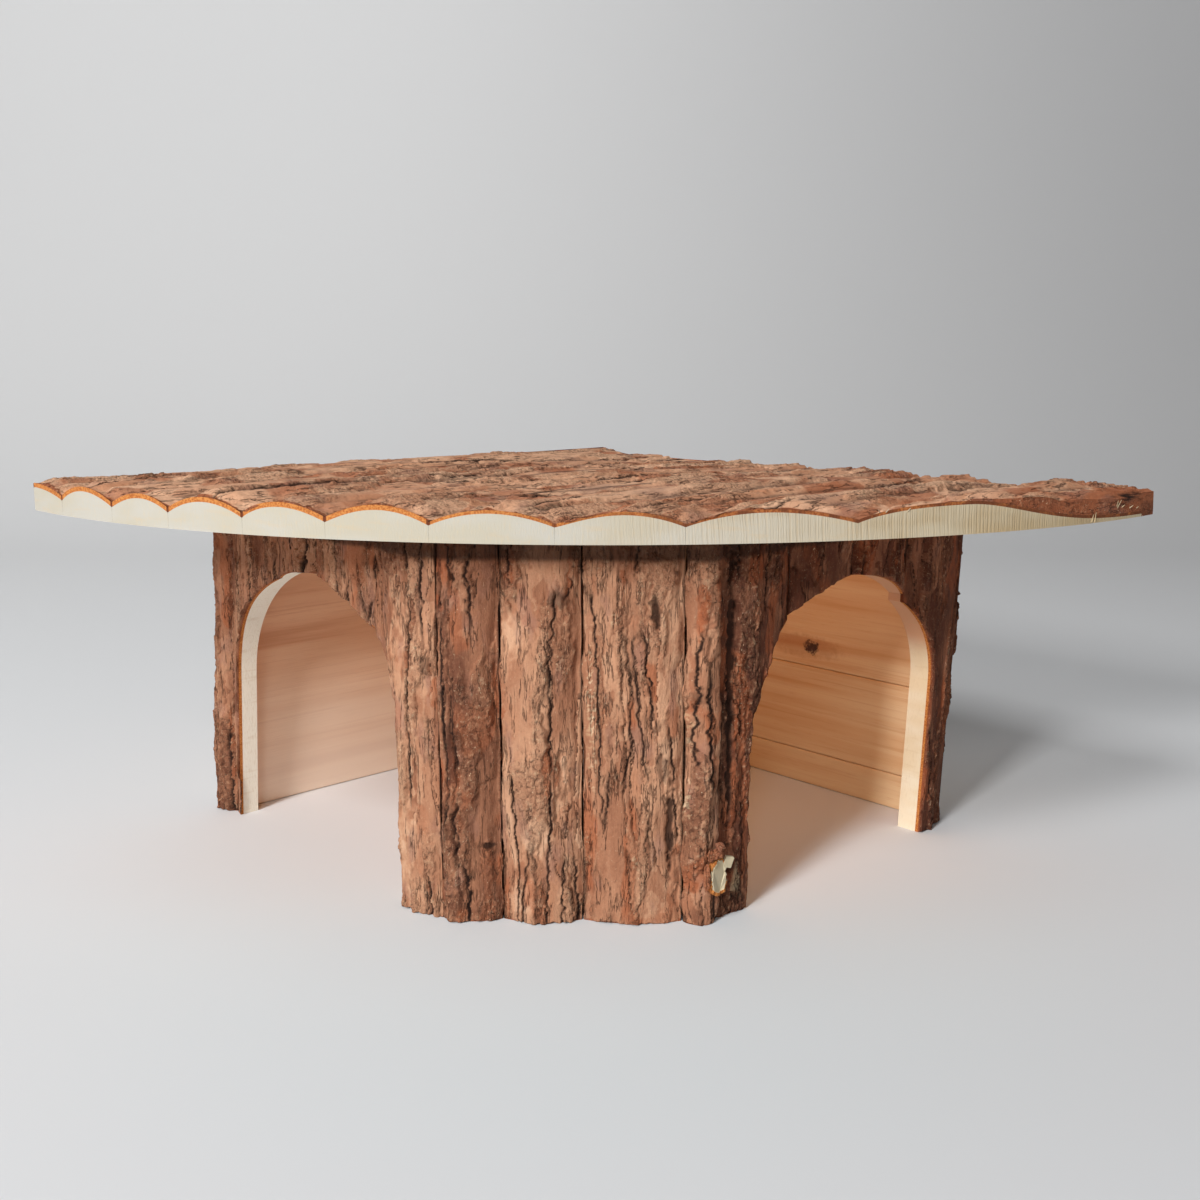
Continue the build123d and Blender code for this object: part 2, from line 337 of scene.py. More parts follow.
def bark_relief(bark, across, along, look, wide, stretch):
    """Height of the bark over its mean, in millimetres, its four shades and how crumbly it is."""
    seed = look.seed * 1000
    width, length = bark.plate_width / MM * wide, bark.plate_length / MM * stretch
    step, depth = bark.step / MM, bark.crack / MM

    # Plates, chips and cracks all follow one measure across the grain, which sways and is jagged
    def torn(a, b):
        sway = layers(a / (16 * wide), b / (50 * stretch), seed, 3) - 0.5
        jag = layers(a / 2.2, b / 2.8, seed + 1, 3) - 0.5
        return a + 6 * sway + 2.3 * jag

    def plates(a, b):
        return layers(torn(a, b) / width, b / length, seed + 2, 2)

    def chips(a, b):
        return layers(torn(a, b) / (4.6 * wide), b / (9 * stretch), seed + 3, 3)

    def rifts(a, b):
        return layers(torn(a, b) / (width * 0.62), b / length, seed + 4, 2) + 0.5

    plate, past, short, upright = terraces(plates, 6, across, along)
    chip, chip_past, chip_short, _ = terraces(chips, 4, across, along)
    side, rift_past, rift_short, rift_upright = terraces(rifts, 1, across, along)
    a = torn(across, along)
    # Where the cracks gape, where the plates' feet are open and where the bark is rough with chips
    cracked = layers(across / (10 * wide), along / (34 * stretch), seed + 5, 3)
    gape = ramp(0.38 - look.split, 0.56 - look.split, cracked)
    open_here = ramp(0.38, 0.58, layers(across / 9, along / 24, seed + 6, 3))
    to_rift = np.where(side < 1, rift_short, rift_past)
    rift = (1 - ramp(0.1, 0.62 * wide + 2 * look.split, to_rift)) * (0.2 + 0.8 * rift_upright) * (0.06 + 0.94 * gape)
    foot = (1 - ramp(0.08, 0.62, short)) * (0.3 + 0.7 * upright) * (0.1 + 0.9 * open_here)
    rough = 0.9 * ramp(0.50, 0.66, layers(a / (5 * wide), along / (26 * stretch), seed + 13, 4))
    crumbling = to_rift + 1.2 * layers(a / 2, along / 5, seed + 14, 2)
    rough = np.maximum(rough, 0.8 * gape * (1 - ramp(0.3, 1.5, crumbling)))
    chip_foot = (1 - ramp(0.08, 0.5, chip_short)) * rough
    # Steps of plates and chips, with fibres, crumbs and lumps on them, less the cracks and the plates' feet
    fibre = layers(a / 0.9, along / 9, seed + 8, 3) - 0.5
    crumb = layers(across / 1.0, along / 1.2, seed + 9, 3) - 0.5
    lump = layers(across / 2.4, along / 3.4, seed + 15, 3) - 0.5
    height = step * (plate + ramp(0.0, 0.4, past)) + 0.7 * step * rough * (chip + ramp(0.0, 0.4, chip_past))
    height = height - height.mean() + 0.14 * fibre + (0.14 + 0.42 * rough) * crumb + 0.3 * rough * lump
    height = height - depth * rift - 0.35 * depth * foot - 0.25 * chip_foot
    # Dark in the cracks, with a tone and a red of its own on each plate, and pale where crumbs stand up
    dark = np.maximum(0.95 * rift, np.maximum(0.8 * foot, 0.65 * chip_foot))
    dark = np.maximum(dark, 0.55 * rough * ramp(0.12, 0.24, -crumb))
    patch = layers(a / 8, along / 30, seed + 10, 3) - 0.5
    odd = lattice(plate.astype(np.int64), chip.astype(np.int64) // 2 + 9 * side.astype(np.int64), seed + 7) - 0.5
    hue = lattice(plate.astype(np.int64) + 40, side.astype(np.int64), seed + 8) - 0.5
    tone = look.tone + 0.4 * odd + 0.12 * fibre + 0.4 * patch + 0.5 * rough * np.maximum(crumb, 0)
    red = look.red + 0.5 * ramp(0.54, 0.66, layers(across / 7, along / 18, seed + 11, 3)) + 0.5 * hue
    pale = 0.4 * rough * ramp(0.19, 0.28, crumb)
    ragged = layers(across / 1.6, along / 2.6, seed + 12, 4) - 0.5
    speckle = ramp(0.56, 0.68, layers(across / 0.7, along / 0.8, seed + 16, 2))
    for mark in look.marks:
        effect = EFFECTS[mark.kind]
        away = np.hypot((across - mark.across) / mark.wide, (along - mark.along) / mark.long)
        inside = 1 - ramp(0.45, 1.15, away + 1.5 * ragged)
        height, dark = height + effect.rise * inside, np.maximum(dark, effect.dark * inside)
        tone, red = tone + effect.tone * inside, red + effect.red * inside
        pale = np.maximum(pale, effect.pale * inside * (speckle if mark.kind == "crumbs" else 1.0))
    return height, np.stack([dark, tone, red, pale], axis=1), rough


class Value:
    """A number in a material's nodes. Sums with it add the nodes that work them out."""

    def __init__(self, graph, socket):
        self.graph, self.socket = graph, socket

    def sum(self, operation, first, second):
        node = self.graph.add("ShaderNodeMath", {"operation": operation}, {0: first, 1: second})
        return Value(self.graph, node.outputs[0])

    def __add__(self, other):
        return self.sum("ADD", self, other)

    def __sub__(self, other):
        return self.sum("SUBTRACT", self, other)

    def __rsub__(self, other):
        return self.sum("SUBTRACT", other, self)

    def __mul__(self, other):
        return self.sum("MULTIPLY", self, other)

    def __truediv__(self, other):
        return self.sum("DIVIDE", self, other)

    __radd__, __rmul__ = __add__, __mul__

    def size(self):
        return self.sum("ABSOLUTE", self, 0.0)

    def step(self, low, high):
        """0 up to low, 1 from high and a soft step between them."""
        node = self.graph.add(
            "ShaderNodeMapRange", {"interpolation_type": "SMOOTHSTEP"}, {0: self, 1: low, 2: high}
        )
        return Value(self.graph, node.outputs[0])


class Graph:
    """The nodes of one material, added one at a time."""

    def __init__(self, name):
        self.material = bpy.data.materials.new(f"hide_{name}")
        self.material.use_nodes = True
        self.tree = self.material.node_tree
        self.shader = self.tree.nodes["Principled BSDF"]
        self.place = self.add("ShaderNodeTexCoord").outputs["Object"]

    def add(self, kind, settings=None, inputs=None):
        """Add a node of one type, with its settings and then the values or links of its sockets."""
        node = self.tree.nodes.new(kind)
        for key, setting in (settings or {}).items():
            setattr(node, key, setting)
        for key, value in (inputs or {}).items():
            self.feed(node.inputs[key], value)
        return node

    def feed(self, socket, value):
        """Link a socket to a value's, or set it to a number or colour."""
        value = value.socket if isinstance(value, Value) else value
        if isinstance(value, bpy.types.NodeSocket):
            self.tree.links.new(value, socket)
        else:
            socket.default_value = value

    def scaled(self, x, y, z):
        """Object coordinates counted in lengths of x, y and z millimetres."""
        scale = (1 / (x * MM), 1 / (y * MM), 1 / (z * MM))
        node = self.add("ShaderNodeVectorMath", {"operation": "MULTIPLY"}, {0: self.place, 1: scale})
        return node.outputs[0]

    def noise(self, x, y, z, detail=3.0, roughness=0.55):
        """Noise with features of about x, y and z millimetres."""
        node = self.add(
            "ShaderNodeTexNoise",
            {"noise_dimensions": "3D"},
            {"Vector": self.scaled(x, y, z), "Scale": 1.0, "Detail": detail, "Roughness": roughness},
        )
        return Value(self, node.outputs[0])

    def axes(self):
        node = self.add("ShaderNodeSeparateXYZ", None, {0: self.place})
        return [Value(self, socket) for socket in node.outputs]

    def attribute(self, name):
        """The four channels of a colour attribute of the mesh."""
        node = self.add("ShaderNodeAttribute", {"attribute_name": name})
        split = self.add("ShaderNodeSeparateColor", None, {0: node.outputs["Color"]})
        return [Value(self, socket) for socket in (*split.outputs, node.outputs["Alpha"])]

    def mix(self, factor, first, second, blend="MIX"):
        node = self.add(
            "ShaderNodeMix",
            {"data_type": "RGBA", "blend_type": blend, "clamp_factor": True},
            {0: factor, 6: first, 7: second},
        )
        return node.outputs[2]

    def finish(self, color, roughness, height=None, distance=0.0003, specular=0.3):
        """Feed the shader its colour, roughness and bumps, and return the material."""
        self.feed(self.shader.inputs["Base Color"], color)
        self.feed(self.shader.inputs["Roughness"], roughness)
        self.shader.inputs["Specular IOR Level"].default_value = specular
        if height is not None:
            bump = self.add("ShaderNodeBump", None, {"Strength": 1.0, "Distance": distance, "Height": height})
            self.feed(self.shader.inputs["Normal"], bump.outputs[0])
        return self.material


def shade(red, green, blue):
    """A colour from its screen values out of 255."""
    parts = [channel / 255 for channel in (red, green, blue)]
    return (*[p / 12.92 if p <= 0.04045 else ((p + 0.055) / 1.055) ** 2.4 for p in parts], 1.0)


def stretched(along_axis, across, along):
    """Feature sizes on the three axes, long on the one that the grain follows."""
    return [along if axis == along_axis else across for axis in range(3)]


def bark_material(name, axis, middle, light_most):
    """Bark with its grain along one axis, dark in the cracks that the mesh carries.

    middle and light_most are its colours where its tone is middling and where it is lightest.
    """
    g = Graph(name)
    dark, tone, red, pale = g.attribute("bark")
    worn = g.attribute("crumbly")[0] * 0.7 + 0.3
    broad = g.noise(*stretched(axis, 17, 60))
    blotch = g.noise(*stretched(axis, 5, 14), 4.0)
    fibre = g.noise(*stretched(axis, 0.9, 9), 3.0, 0.65)
    grit = g.noise(*stretched(axis, 0.7, 1.0), 2.0, 0.7)
    light = tone + (broad - 0.5) * 0.4 + (blotch - 0.5) * 0.6 + (fibre - 0.5) * 0.12
    color = g.mix(light.step(0.0, 0.5), shade(98, 57, 41), shade(162, 110, 82))
    color = g.mix(light.step(0.4, 0.9), color, middle)
    color = g.mix(light.step(0.8, 1.3), color, light_most)
    rust = red + (blotch - 0.5) * 0.8 + (broad - 0.5) * 0.5
    color = g.mix(rust.step(0.2, 0.95) * 0.7, color, shade(164, 88, 52))
    grey = g.noise(*stretched(axis, 8, 20), 3.0).step(0.54, 0.66)
    color = g.mix(grey * light.step(0.1, 0.5) * 0.38, color, shade(152, 112, 98))
    color = g.mix((grit - 0.5).step(0.06, 0.2) * worn * 0.30, color, shade(208, 164, 128))
    color = g.mix((0.5 - grit).step(0.05, 0.2) * worn * 0.40, color, shade(76, 45, 34))
    crumbs = g.noise(*stretched(axis, 1.6, 2.2), 5.0, 0.7)
    color = g.mix((crumbs - 0.5).step(0.03, 0.16) * worn * 0.30, color, shade(196, 148, 114))
    color = g.mix((0.5 - crumbs).step(0.03, 0.16) * worn * 0.45, color, shade(84, 50, 37))
    fleck = g.noise(*stretched(axis, 0.5, 1.1), 1.0, 0.5).step(0.70, 0.76)
    color = g.mix(fleck * worn * 0.8, color, shade(230, 200, 164))
    hair = g.noise(*stretched(axis, 2.8, 26), 4.0, 0.62)
    fine = (1.0 - (hair - 0.5).size().step(0.0, 0.025)) * blotch.step(0.42, 0.58)
    color = g.mix(fine * 0.6, color, shade(60, 34, 25))
    color = g.mix(pale, color, g.mix(blotch.step(0.4, 0.6), shade(196, 156, 120), shade(224, 194, 158)))
    color = g.mix(dark.step(0.08, 0.95), color, shade(46, 28, 21))
    height = fibre * 0.25 + (grit * 0.5 + crumbs * 1.2) * worn - fine * 0.5
    return g.finish(color, 0.8 + grit * 0.2, height, 0.0011, 0.2)


def rim_turn(g, x, y):
    """The turn round the roof's back corner, from the left tip at 0 to the right tip at half pi."""
    node = g.add("ShaderNodeMath", {"operation": "ARCTAN2"}, {0: x + 0.15, 1: 0.15 - y})
    return Value(g, node.outputs[0])


def inner_bark_material():
    """Orange fibrous inner bark along the cut rims, darker along the right half of the roof's."""
    g = Graph("inner_bark")
    fleck = g.noise(0.7, 0.7, 0.7, 3.0)
    broad = g.noise(9, 9, 9, 3.0)
    color = g.mix(fleck.step(0.35, 0.65), shade(138, 74, 40), shade(182, 112, 62))
    color = g.mix(broad.step(0.40, 0.56) * 0.85, color, shade(104, 58, 38))
    x, y, z = g.axes()
    bright = g.mix(fleck.step(0.35, 0.65), shade(172, 98, 48), shade(208, 138, 74))
    bright = g.mix((g.attribute("bark")[0] + (fleck - 0.5) * 0.2).step(0.12, 0.26), bright, shade(112, 58, 34))
    color = g.mix(z.step(0.132, 0.136) * rim_turn(g, x, y).step(0.6, 1.0), bright, color)
    return g.finish(color, 0.85, fleck, 0.0003, 0.2)


def sapwood_material():
    """Pale sawn wood, with saw marks across the right half of the roof's rim, and the roof's shadow painted on the
    upper part of the right doorway's reveal.
    """
    g = Graph("sapwood")
    x, y, z = g.axes()
    rings = g.noise(14, 14, 2.2, 3.0)
    fine = g.noise(0.6, 0.6, 2.6, 3.0, 0.6)
    broad = g.noise(30, 30, 12, 2.0)
    arc = rim_turn(g, x, y)
    waver = arc * 380 + (broad - 0.5) * 2 + z * 60
    lines = g.add("ShaderNodeTexNoise", {"noise_dimensions": "1D"}, {"W": waver, "Scale": 1.0, "Detail": 3.0})
    marks = Value(g, lines.outputs[0])
    roof = z.step(0.1365, 0.1372)
    sawn = arc.step(0.75, 1.0) * marks.step(0.44, 0.64) * roof * (0.4 + broad.step(0.3, 0.7) * 0.6)
    white = g.mix(broad.step(0.35, 0.65), shade(190, 185, 174), shade(188, 180, 162))
    tan = g.mix(broad.step(0.35, 0.65), shade(200, 184, 154), shade(190, 168, 132))
    rim = g.mix(arc.step(0.7, 1.35), white, tan)
    right = x.step(0.0, 0.05)
    reveal = g.mix(broad.step(0.35, 0.65), shade(238, 224, 198), shade(231, 210, 175))
    reveal = g.mix(right, shade(250, 244, 228), reveal)
    # Painted shadow of the roof: the right doorway's reveal is painted darker and pinker above about 80 mm
    reveal = g.mix(z.step(0.073, 0.085) * right * 0.85, reveal, shade(214, 156, 118))
    reveal = g.mix(right * (1.0 - y.step(0.004, 0.03)) * 0.8, reveal, shade(198, 184, 152))
    color = g.mix(roof, reveal, rim)
    color = g.mix(fine.step(0.5, 0.72) * 0.25, color, shade(206, 184, 146))
    color = g.mix(rings.step(0.55, 0.7) * 0.18, color, shade(206, 176, 130))
    color = g.mix(sawn * 0.35, color, shade(180, 148, 104))
    return g.finish(color, 0.7 + fine * 0.15, fine * 0.5 + sawn * -0.5, 0.00025, 0.3)


def pine_material(name, axis, light, mid, streak, knot=None, foot=None):
    """Planed pine with its grain along one axis, a small dark knot where one is given and, where a foot colour is
    given, painted light: a foot painted paler near the floor.
    """
    g = Graph(name)
    drift = g.noise(*stretched(axis, 40, 160), 2.0)
    bands = g.noise(*stretched(axis, 9, 210), 4.0, 0.5)
    lines = g.noise(*stretched(axis, 1.5, 90), 3.0, 0.6)
    pores = g.noise(*stretched(axis, 0.5, 9), 2.0, 0.6)
    color = g.mix(bands.step(0.36, 0.6), light, mid)
    color = g.mix((bands + (drift - 0.5) * 0.5).step(0.56, 0.72) * 0.75, color, streak)
    color = g.mix(lines.step(0.5, 0.75) * 0.4, color, streak)
    color = g.mix(pores.step(0.56, 0.75) * 0.25, color, streak)
    x, _, z = g.axes()
    # Painted light: the board's foot is painted paler, standing in for the light that the floor throws on it
    if foot is not None:
        color = g.mix((1.0 - (z + (drift - 0.5) * 0.05).step(0.0, 0.075)) * 0.8, color, foot)
    if knot is not None:
        ragged = (g.noise(2.2, 2.2, 2.2, 4.0, 0.7) - 0.5) * 3.2
        flat, up = (x - knot[0] * MM) / (5.0 * MM), (z - knot[1] * MM) / (3.4 * MM)
        heart = 1.0 - (flat * flat + up * up + ragged).step(0.15, 1.1)
        trail = (x - knot[0] * MM + 4 * MM) / (22 * MM)
        halo = 1.0 - (trail * trail + up * up * 0.35 + ragged * 0.5).step(0.2, 1.3)
        color = g.mix(halo * 0.4, color, shade(170, 104, 60))
        color = g.mix(heart * 0.95, color, shade(58, 28, 18))
    return g.finish(color, 0.55 + lines * 0.15, pores * 0.5 + lines * 0.5, 0.00015, 0.35)


def steel_material():
    """Dull drawn steel."""
    g = Graph("brad_steel")
    worn = g.noise(0.6, 0.6, 0.6, 3.0)
    g.shader.inputs["Metallic"].default_value = 1.0
    color = g.mix(worn.step(0.4, 0.7), shade(168, 166, 162), shade(126, 116, 104))
    return g.finish(color, 0.35 + worn * 0.2, worn, 0.00005, 0.5)


def stage_material():
    """Seamless pale paper, painted darker to the right as painted shade, and a little cooler in front of the hide."""
    g = Graph("studio_paper")
    x, y, _ = g.axes()
    aside = x * 0.684 + y * 0.729
    away = y * 0.67 - x * 0.72
    color = g.mix(away.step(-0.5, 1.6), shade(229, 231, 233), shade(236, 236, 236))
    # Painted shade: the paper is painted darker to the right, away from the lights
    painted_side_shade = g.mix(away.step(-0.5, 0.8), shade(186, 189, 192), shade(190, 190, 191))
    color = g.mix(aside.step(-0.5, 1.2) * 0.78, color, painted_side_shade)
    front = (1.0 - (x * x + y * y).step(0.01, 0.06)) * (1.0 - away.step(-0.09, -0.01))
    color = g.mix(front, color, (0.99, 1.035, 1.045, 1.0), "MULTIPLY")
    return g.finish(color, 0.9, None, 0.0, 0.1)


def material(name):
    """A material by name, made the first time it is asked for."""
    makers = {
        "wall_bark": lambda: bark_material("wall_bark", 2, shade(196, 147, 115), shade(220, 180, 148)),
        "roof_bark": lambda: bark_material("roof_bark", 1, shade(200, 142, 107), shade(230, 181, 146)),
        "inner_bark": inner_bark_material,
        "sapwood": sapwood_material,
        # The left board's foot is painted paler as painted light from the floor
        "left_pine": lambda: pine_material(
            "left_pine", 1, shade(246, 208, 174), shade(236, 192, 156), shade(212, 158, 122), foot=shade(242, 224, 206)
        ),
        "right_pine": lambda: pine_material(
            "right_pine", 0, shade(242, 210, 166), shade(232, 190, 142), shade(208, 150, 98), KNOT
        ),
        "inner_wood": lambda: pine_material(
            "inner_wood", 2, shade(236, 182, 124), shade(228, 168, 108), shade(208, 142, 84)
        ),
        "brad_steel": steel_material,
        "studio_paper": stage_material,
    }
    return bpy.data.materials.get(f"hide_{name}") or makers[name]()


def add(context, name, primitive, **settings):
    """Add a primitive with nothing else selected, and name it and its mesh."""
    bpy.ops.object.select_all(action="DESELECT")
    primitive(**settings)
    piece = context.object
    piece.name = piece.data.name = name
    return piece


def apply_place():
    """Put the selected piece's place, turn and scale into its mesh."""
    bpy.ops.object.transform_apply(location=True, rotation=True, scale=True)


def bevel(piece, name, width, segments=2):
    """Bevel the piece's sharp edges."""
    modifier = piece.modifiers.new(name, "BEVEL")
    modifier.width, modifier.segments, modifier.limit_method = width, segments, "ANGLE"
    bpy.ops.object.modifier_apply(modifier=modifier.name)


def pick(piece, kind, chosen):
    """Select only the chosen faces or edges of the active piece, and leave it in edit mode."""
    bpy.ops.object.mode_set(mode="EDIT")
    bpy.ops.mesh.select_mode(type=kind)
    bpy.ops.mesh.select_all(action="DESELECT")
    bpy.ops.object.mode_set(mode="OBJECT")
    parts = piece.data.polygons if kind == "FACE" else piece.data.edges
    parts.foreach_set("select", chosen)
    bpy.ops.object.mode_set(mode="EDIT")


def new_grid(context, name, columns, rows, gone=None):
    """A flat grid from -1 to 1, less the cells that gone(x, y) picks by their middles."""
    piece = add(
        context, name, bpy.ops.mesh.primitive_grid_add, x_subdivisions=columns, y_subdivisions=rows, size=2
    )
    if gone is not None:
        middles = np.array([face.center[:] for face in piece.data.polygons])
        pick(piece, "FACE", gone(middles[:, 0], middles[:, 1]))
        bpy.ops.mesh.delete(type="FACE")
        bpy.ops.object.mode_set(mode="OBJECT")
    return piece


def corners(piece):
    """The piece's vertices as rows of x, y and z."""
    found = np.zeros(len(piece.data.vertices) * 3)
    piece.data.vertices.foreach_get("co", found)
    return found.reshape(-1, 3)


def move(piece, points):
    """Move the piece's vertices to rows of x, y and z."""
    piece.data.vertices.foreach_set("co", points.ravel())


def paint(mesh, shades, crumbly):
    """Keep the bark's shades and how crumbly it is on the mesh, where the materials read them."""
    fields = (("bark", "FLOAT_COLOR", "color", shades), ("crumbly", "FLOAT", "value", crumbly))
    for name, kind, field, values in fields:
        layer = mesh.attributes.new(name, kind, "POINT")
        layer.data.foreach_set(field, values.astype(np.float32).ravel())


def select_rim():
    """In edit mode, the open edges of the mesh."""
    bpy.ops.mesh.select_mode(type="EDGE")
    bpy.ops.mesh.select_all(action="DESELECT")
    bpy.ops.mesh.select_non_manifold(
        extend=False, use_wire=False, use_boundary=True,
        use_multi_face=False, use_non_contiguous=False, use_verts=False,
    )


def extrude_rim(piece):
    """Extrude the open edges, and return for each new vertex the one that it came from."""
    before = len(piece.data.vertices)
    bpy.ops.object.mode_set(mode="EDIT")
    select_rim()
    bpy.ops.mesh.extrude_edges_move()
    bpy.ops.object.mode_set(mode="OBJECT")
    edges = np.zeros(len(piece.data.edges) * 2, dtype=np.int64)
    piece.data.edges.foreach_get("vertices", edges)
    edges = np.sort(edges.reshape(-1, 2), axis=1)
    joining = edges[(edges[:, 0] < before) & (edges[:, 1] >= before)]
    source = np.zeros(len(piece.data.vertices) - before, dtype=np.int64)
    source[joining[:, 1] - before] = joining[:, 0]
    return source


def close_rim(piece):
    """Fill the last open edges with one flat face and point every face outwards."""
    bpy.ops.object.mode_set(mode="EDIT")
    select_rim()
    bpy.ops.mesh.edge_face_add()
    bpy.ops.mesh.select_all(action="SELECT")
    bpy.ops.mesh.normals_make_consistent(inside=False)
    bpy.ops.object.mode_set(mode="OBJECT")


def arch(doors, middle, across, notch=0.0):
    """Height of a doorway's arch at places across the panel, less a notch that fades to its foot."""
    half = doors.width / MM / 2
    share = np.clip((across - middle) / half, -1, 1)
    return doors.spring / MM + (doors.rise / MM - notch) * np.sqrt(1 - share * share)


def slab_grid(context, slab):
    """Add the slab's mesh as a flat grid, less what a doorway takes, and find where each vertex belongs."""
    doors, cell, look, (start, end) = context.scene.hide_doors, slab.cell, slab.look, slab.span
    spring = doors.spring / MM
    spread = end - start - min(look.gaps[0], 0) - min(look.gaps[1], 0) + BARK_OUT * sum(slab.lean)
    count = max(LEAST_COLUMNS, round(spread / cell))
    places = start + (end - start) * np.linspace(0, 1, count + 1)
    low, high = slab.ends(places)
    tall = max(high - low)
    rows, gone = round(tall / cell), None
    jamb = next((side for side in (slab.door or ())[:2] if start < side < end), None)
    if jamb is not None:
        opens_after = jamb == slab.door[0]
        beside = jamb - start if opens_after else end - jamb
        over = (end - start) - beside
        near = max(LEAST_COLUMNS // 2, round(beside / cell))
        far = max(LEAST_COLUMNS, round(over / cell * DOOR_COLUMNS))
        solid = np.linspace(0, 1, near + 1) * beside
        opening = np.linspace(0, 1, far + 1) ** DOOR_CROWDING * over
        if opens_after:
            places = np.concatenate([start + solid, jamb + opening[1:]])
        else:
            places = np.concatenate([(jamb - opening)[::-1], jamb + solid[1:]])
        count = near + far
        foot_rows = round(spring / cell)
        rows = foot_rows + round((tall - spring) / cell)
        first, last = (near, count) if opens_after else (0, far)

        def gone(x, y):
            column, row = (x + 1) / 2 * count, (y + 1) / 2 * rows
            return (column > first) & (column < last) & (row < foot_rows)

    piece = new_grid(context, f"{slab.node}_bark", count, rows, gone)
    flat = corners(piece)
    across = places[np.rint((flat[:, 0] + 1) / 2 * count).astype(int)]
    row = np.rint((flat[:, 1] + 1) / 2 * rows)
    low, high = slab.ends(across)
    along = low + (high - low) * row / rows
    if jamb is not None:
        inside = (across > jamb) if opens_after else (across < jamb)
        base = np.where(inside, arch(doors, slab.door[2], across, look.notch), spring)
        share = (row - foot_rows) / (rows - foot_rows)
        along = np.where(row >= foot_rows, base + (high - base) * share, spring * row / max(foot_rows, 1))
        low = np.where(inside, base, 0.0)
    return Grid(piece, row / rows, row < 1.5, across, along, low, high, (across - start) / (end - start))


def bark_skin(slab, bark, grid):
    """Work out the slab's bark over its grid."""
    look, (start, end) = slab.look, slab.span
    width, seed = end - start, look.seed * 1000 + 500
    across, along, low, share = grid.across, grid.along, grid.low, grid.share

    def side_gap(which, at):
        ragged = layers(at / 7, at * 0 + which, seed, 3)
        return look.gaps[which] * (0.4 + 2.2 * ragged**2 if look.gaps[which] > 0 else 0.75 + 0.5 * ragged)

    def end_gap(which, at):
        return 0.1 + 2.6 * layers(at / 2.6, at * 0 + which, seed + 7, 3) ** 3

    def wander(side, at):
        return 4.0 * (layers(at / 15, at * 0, round(side * 10), 3) - 0.5) if side in slab.seams else at * 0

    first = side_gap(0, along) + wander(start, along)
    last = side_gap(1, along) - wander(end, along)
    bark_across = start + first + (across - start) * (width - first - last) / width
    near_end, far_end = end_gap(0, across), end_gap(1, across)
    reach = np.maximum(grid.high - low, 1e-6)
    trim = np.minimum(1, reach / 6)
    bark_along = low + trim * near_end + (along - low) * (reach - trim * (near_end + far_end)) / reach
    height, shades, rough = bark_relief(bark, bark_across, bark_along, look, slab.wide, slab.stretch)
    # Painted shade of the roof: the bark is painted darker within about 10 mm of its far end, under the roof
    dark = np.maximum(shades[:, 0], slab.grime * ramp(10.5, 7.5, grid.high - bark_along))
    for groove in slab.grooves:
        off = bark_across - start - groove * width + 2.4 * (layers(bark_along / 24, along * 0, seed + 3, 3) - 0.5)
        hollow = np.sqrt(np.maximum(1 - (off / GROOVE_HALF_WIDTH) ** 2, 0)) * (0.2 + 0.8 * ramp(1, 12, along - low))
        height = height - GROOVE_DEPTH * hollow
        dark = np.maximum(dark, 0.55 * hollow**3)
    shades[:, 0] = dark
    mean = slab.outer(share)
    flat = slab.outer(share * 0) + (slab.outer(share * 0 + 1) - slab.outer(share * 0)) * share
    mean = mean - (mean - flat) * slab.settle * ramp(0.55, 1.0, grid.rise)
    thick = bark.edge_bark / MM + (bark.crown_bark - bark.edge_bark) / MM * 4 * share * (1 - share)
    wood = mean - thick - slab.wrap * ramp(0.5, 1.0, share)
    inner = bark.inner_bark / MM * slab.inner
    rolled = ROLL_DEPTH * (1 - ramp(0.0, ROLL_WIDTH, np.minimum(across - start, end - across)))
    worn = WEAR_DEPTH * (1 - ramp(0.0, WEAR_WIDTH, along - low)) if slab.grooves else 0.0
    depth = np.maximum(mean - rolled - worn + height, wood + inner * 0.8)
    if slab.grooves:
        turned = grid.front[:, None] * FRONT_SHARE
        shades = shades * (1 - turned) + turned * FRONT_SHADE
    return Skin(bark_across, bark_along, depth, wood, inner, shades, rough)


def placed(slab, across, along, depth, share):
    """The points, in metres, of places on a slab and depths over its flat side."""
    run = slab.run
    across = across + (slab.lean[1] * share - slab.lean[0] * (1 - share)) * depth
    across = across + (slab.rack(across, along) if slab.rack else 0)
    points = np.outer(across, run.across) + np.outer(along, run.along) + np.outer(depth, run.out)
    return (points + run.origin) * MM


def wrap_slab(slab, grid, skin):
    """Extrude the bark's open rim over the inner bark and the wood to the flat side, and close that.

    The answer is each vertex's share of the width and the numbers of faces before each of the three extrusions.
    """
    piece, gaps = grid.piece, slab.look.gaps
    points = placed(slab, skin.across, skin.along, skin.depth, grid.share)
    state = np.stack([grid.across, grid.along, grid.share, skin.wood])
    faces = []
    for level in (skin.inner, 0.0, None):
        faces.append(len(piece.data.polygons))
        move(piece, points)
        source = extrude_rim(piece)
        state = np.concatenate([state, state[:, source]], axis=1)
        across, along, share, wood = state[:, -len(source):]
        depth = wood + level if level is not None else wood * 0
        inwards = np.where(share < AT_SIDE, 1.0, np.where(share > 1 - AT_SIDE, -1.0, 0.0))
        across = across + inwards * (0.02 + 0.5 * np.where(share < 0.5, *gaps) * (level is not None))
        points = np.concatenate([points, placed(slab, across, along, depth, share)])
    move(piece, points)
    close_rim(piece)
    return state[2], faces


